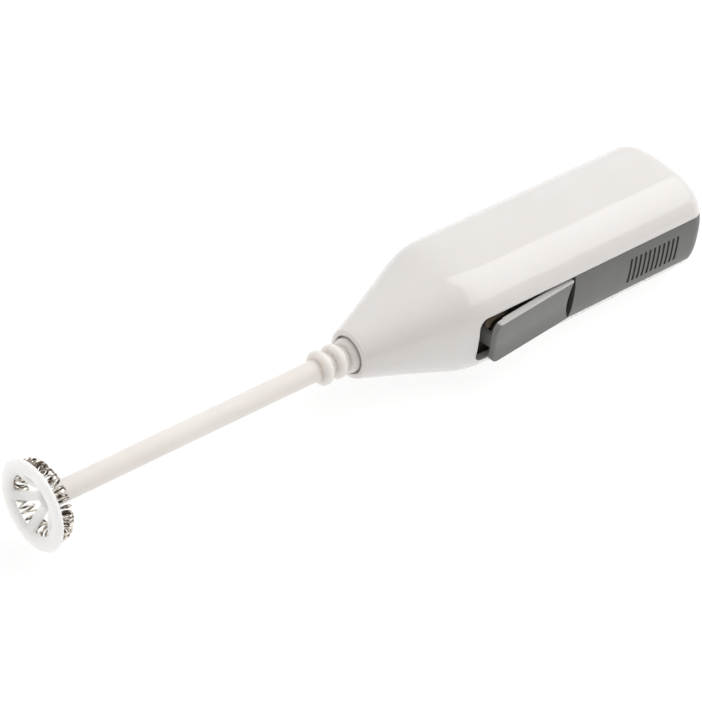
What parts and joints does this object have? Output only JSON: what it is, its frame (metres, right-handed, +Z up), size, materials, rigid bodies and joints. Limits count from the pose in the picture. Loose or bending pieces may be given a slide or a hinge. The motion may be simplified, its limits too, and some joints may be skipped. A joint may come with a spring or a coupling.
{
  "type": "milk frother",
  "caption": "Battery milk frother: rounded handle with tapered nose, side lever switch, sliding battery cover, beaded stem and ring whisk with a coil spring.",
  "frame": {"origin": "on the surface the frother lies on, under the middle of its bounding box", "axes": "+X along the whisk axis towards the rear of the handle, +Z up out of the broad side, the strip with the lever and the battery cover faces -Y"},
  "size_m": [0.2141, 0.0384, 0.03],
  "materials": {
    "white_plastic": "glossy moulded",
    "whisk_plastic": "glossy moulded",
    "disc_plastic": "glossy, slightly translucent",
    "lever_plastic": "semi-gloss moulded",
    "cover_plastic": "semi-gloss moulded",
    "dark_plastic": "matt moulded",
    "grey_plastic": "matt moulded",
    "cell_jacket": "printed sleeve, plain",
    "spring_wire": "bright wire",
    "steel": "bright",
    "brass": "stamped strip",
    "bronze": "sintered",
    "copper": "enamelled or bare copper",
    "ferrite": "ground",
    "ferrite_core": "laminated"
  },
  "bodies": {
    "handle": {"housing_shell": "white_plastic", "rear_cap": "white_plastic", "nose_bush": "grey_plastic", "lever_pins": "steel", "switch_frame": "dark_plastic", "blade_terminal": "brass", "positive_contact": "brass", "fixed_contact_rivet": "brass", "negative_contact": "brass", "battery_cell_outer": "cell_jacket", "battery_cell_inner": "cell_jacket", "cell_springs": "spring_wire", "rear_link_plate": "brass", "battery_tray": "dark_plastic", "motor_can": "steel", "motor_end_bell": "grey_plastic", "motor_magnets": "ferrite", "motor_brushes": "copper", "motor_terminals": "brass", "motor_bushes": "bronze"},
    "rotor": {"motor_shaft": "steel", "motor_armature": "ferrite_core", "motor_windings": "copper", "motor_commutator": "copper"},
    "whisk": {"whisk_stem": "whisk_plastic", "whisk_disc": "disc_plastic", "whisk_coil": "spring_wire"},
    "lever": {"switch_lever": "lever_plastic"},
    "blade": {"contact_blade": "bronze"},
    "cover": {"battery_cover": "cover_plastic"}
  },
  "joints": [
    {"name": "rotor_spin", "type": "hinge", "parent": "handle", "child": "rotor", "pos_m": [-0.00615, -0.00013, 0.0149], "axis": [1, 0, 0], "continuous": true},
    {"name": "whisk_pull", "type": "slide", "parent": "rotor", "child": "whisk", "axis": [-1, 0, 0], "range_m": [0, 0.014]},
    {"name": "lever_press", "type": "hinge", "parent": "handle", "child": "lever", "pos_m": [0.05335, -0.01243, 0.0149], "axis": [0, 0, -1], "range_deg": [0, 5], "stiffness_Nm_per_rad": 0.4, "springref_deg": -2.86},
    {"name": "blade_flex", "type": "hinge", "parent": "handle", "child": "blade", "pos_m": [0.04385, -0.01293, 0.0149], "axis": [0, 0, -1], "range_deg": [0, 9.8]},
    {"name": "cover_slide", "type": "slide", "parent": "handle", "child": "cover", "axis": [1, 0, 0], "range_m": [0, 0.052]}
  ],
  "couplings": [
    {"joint": "blade_flex", "follows": "lever_press", "ratio": 1.96}
  ]
}
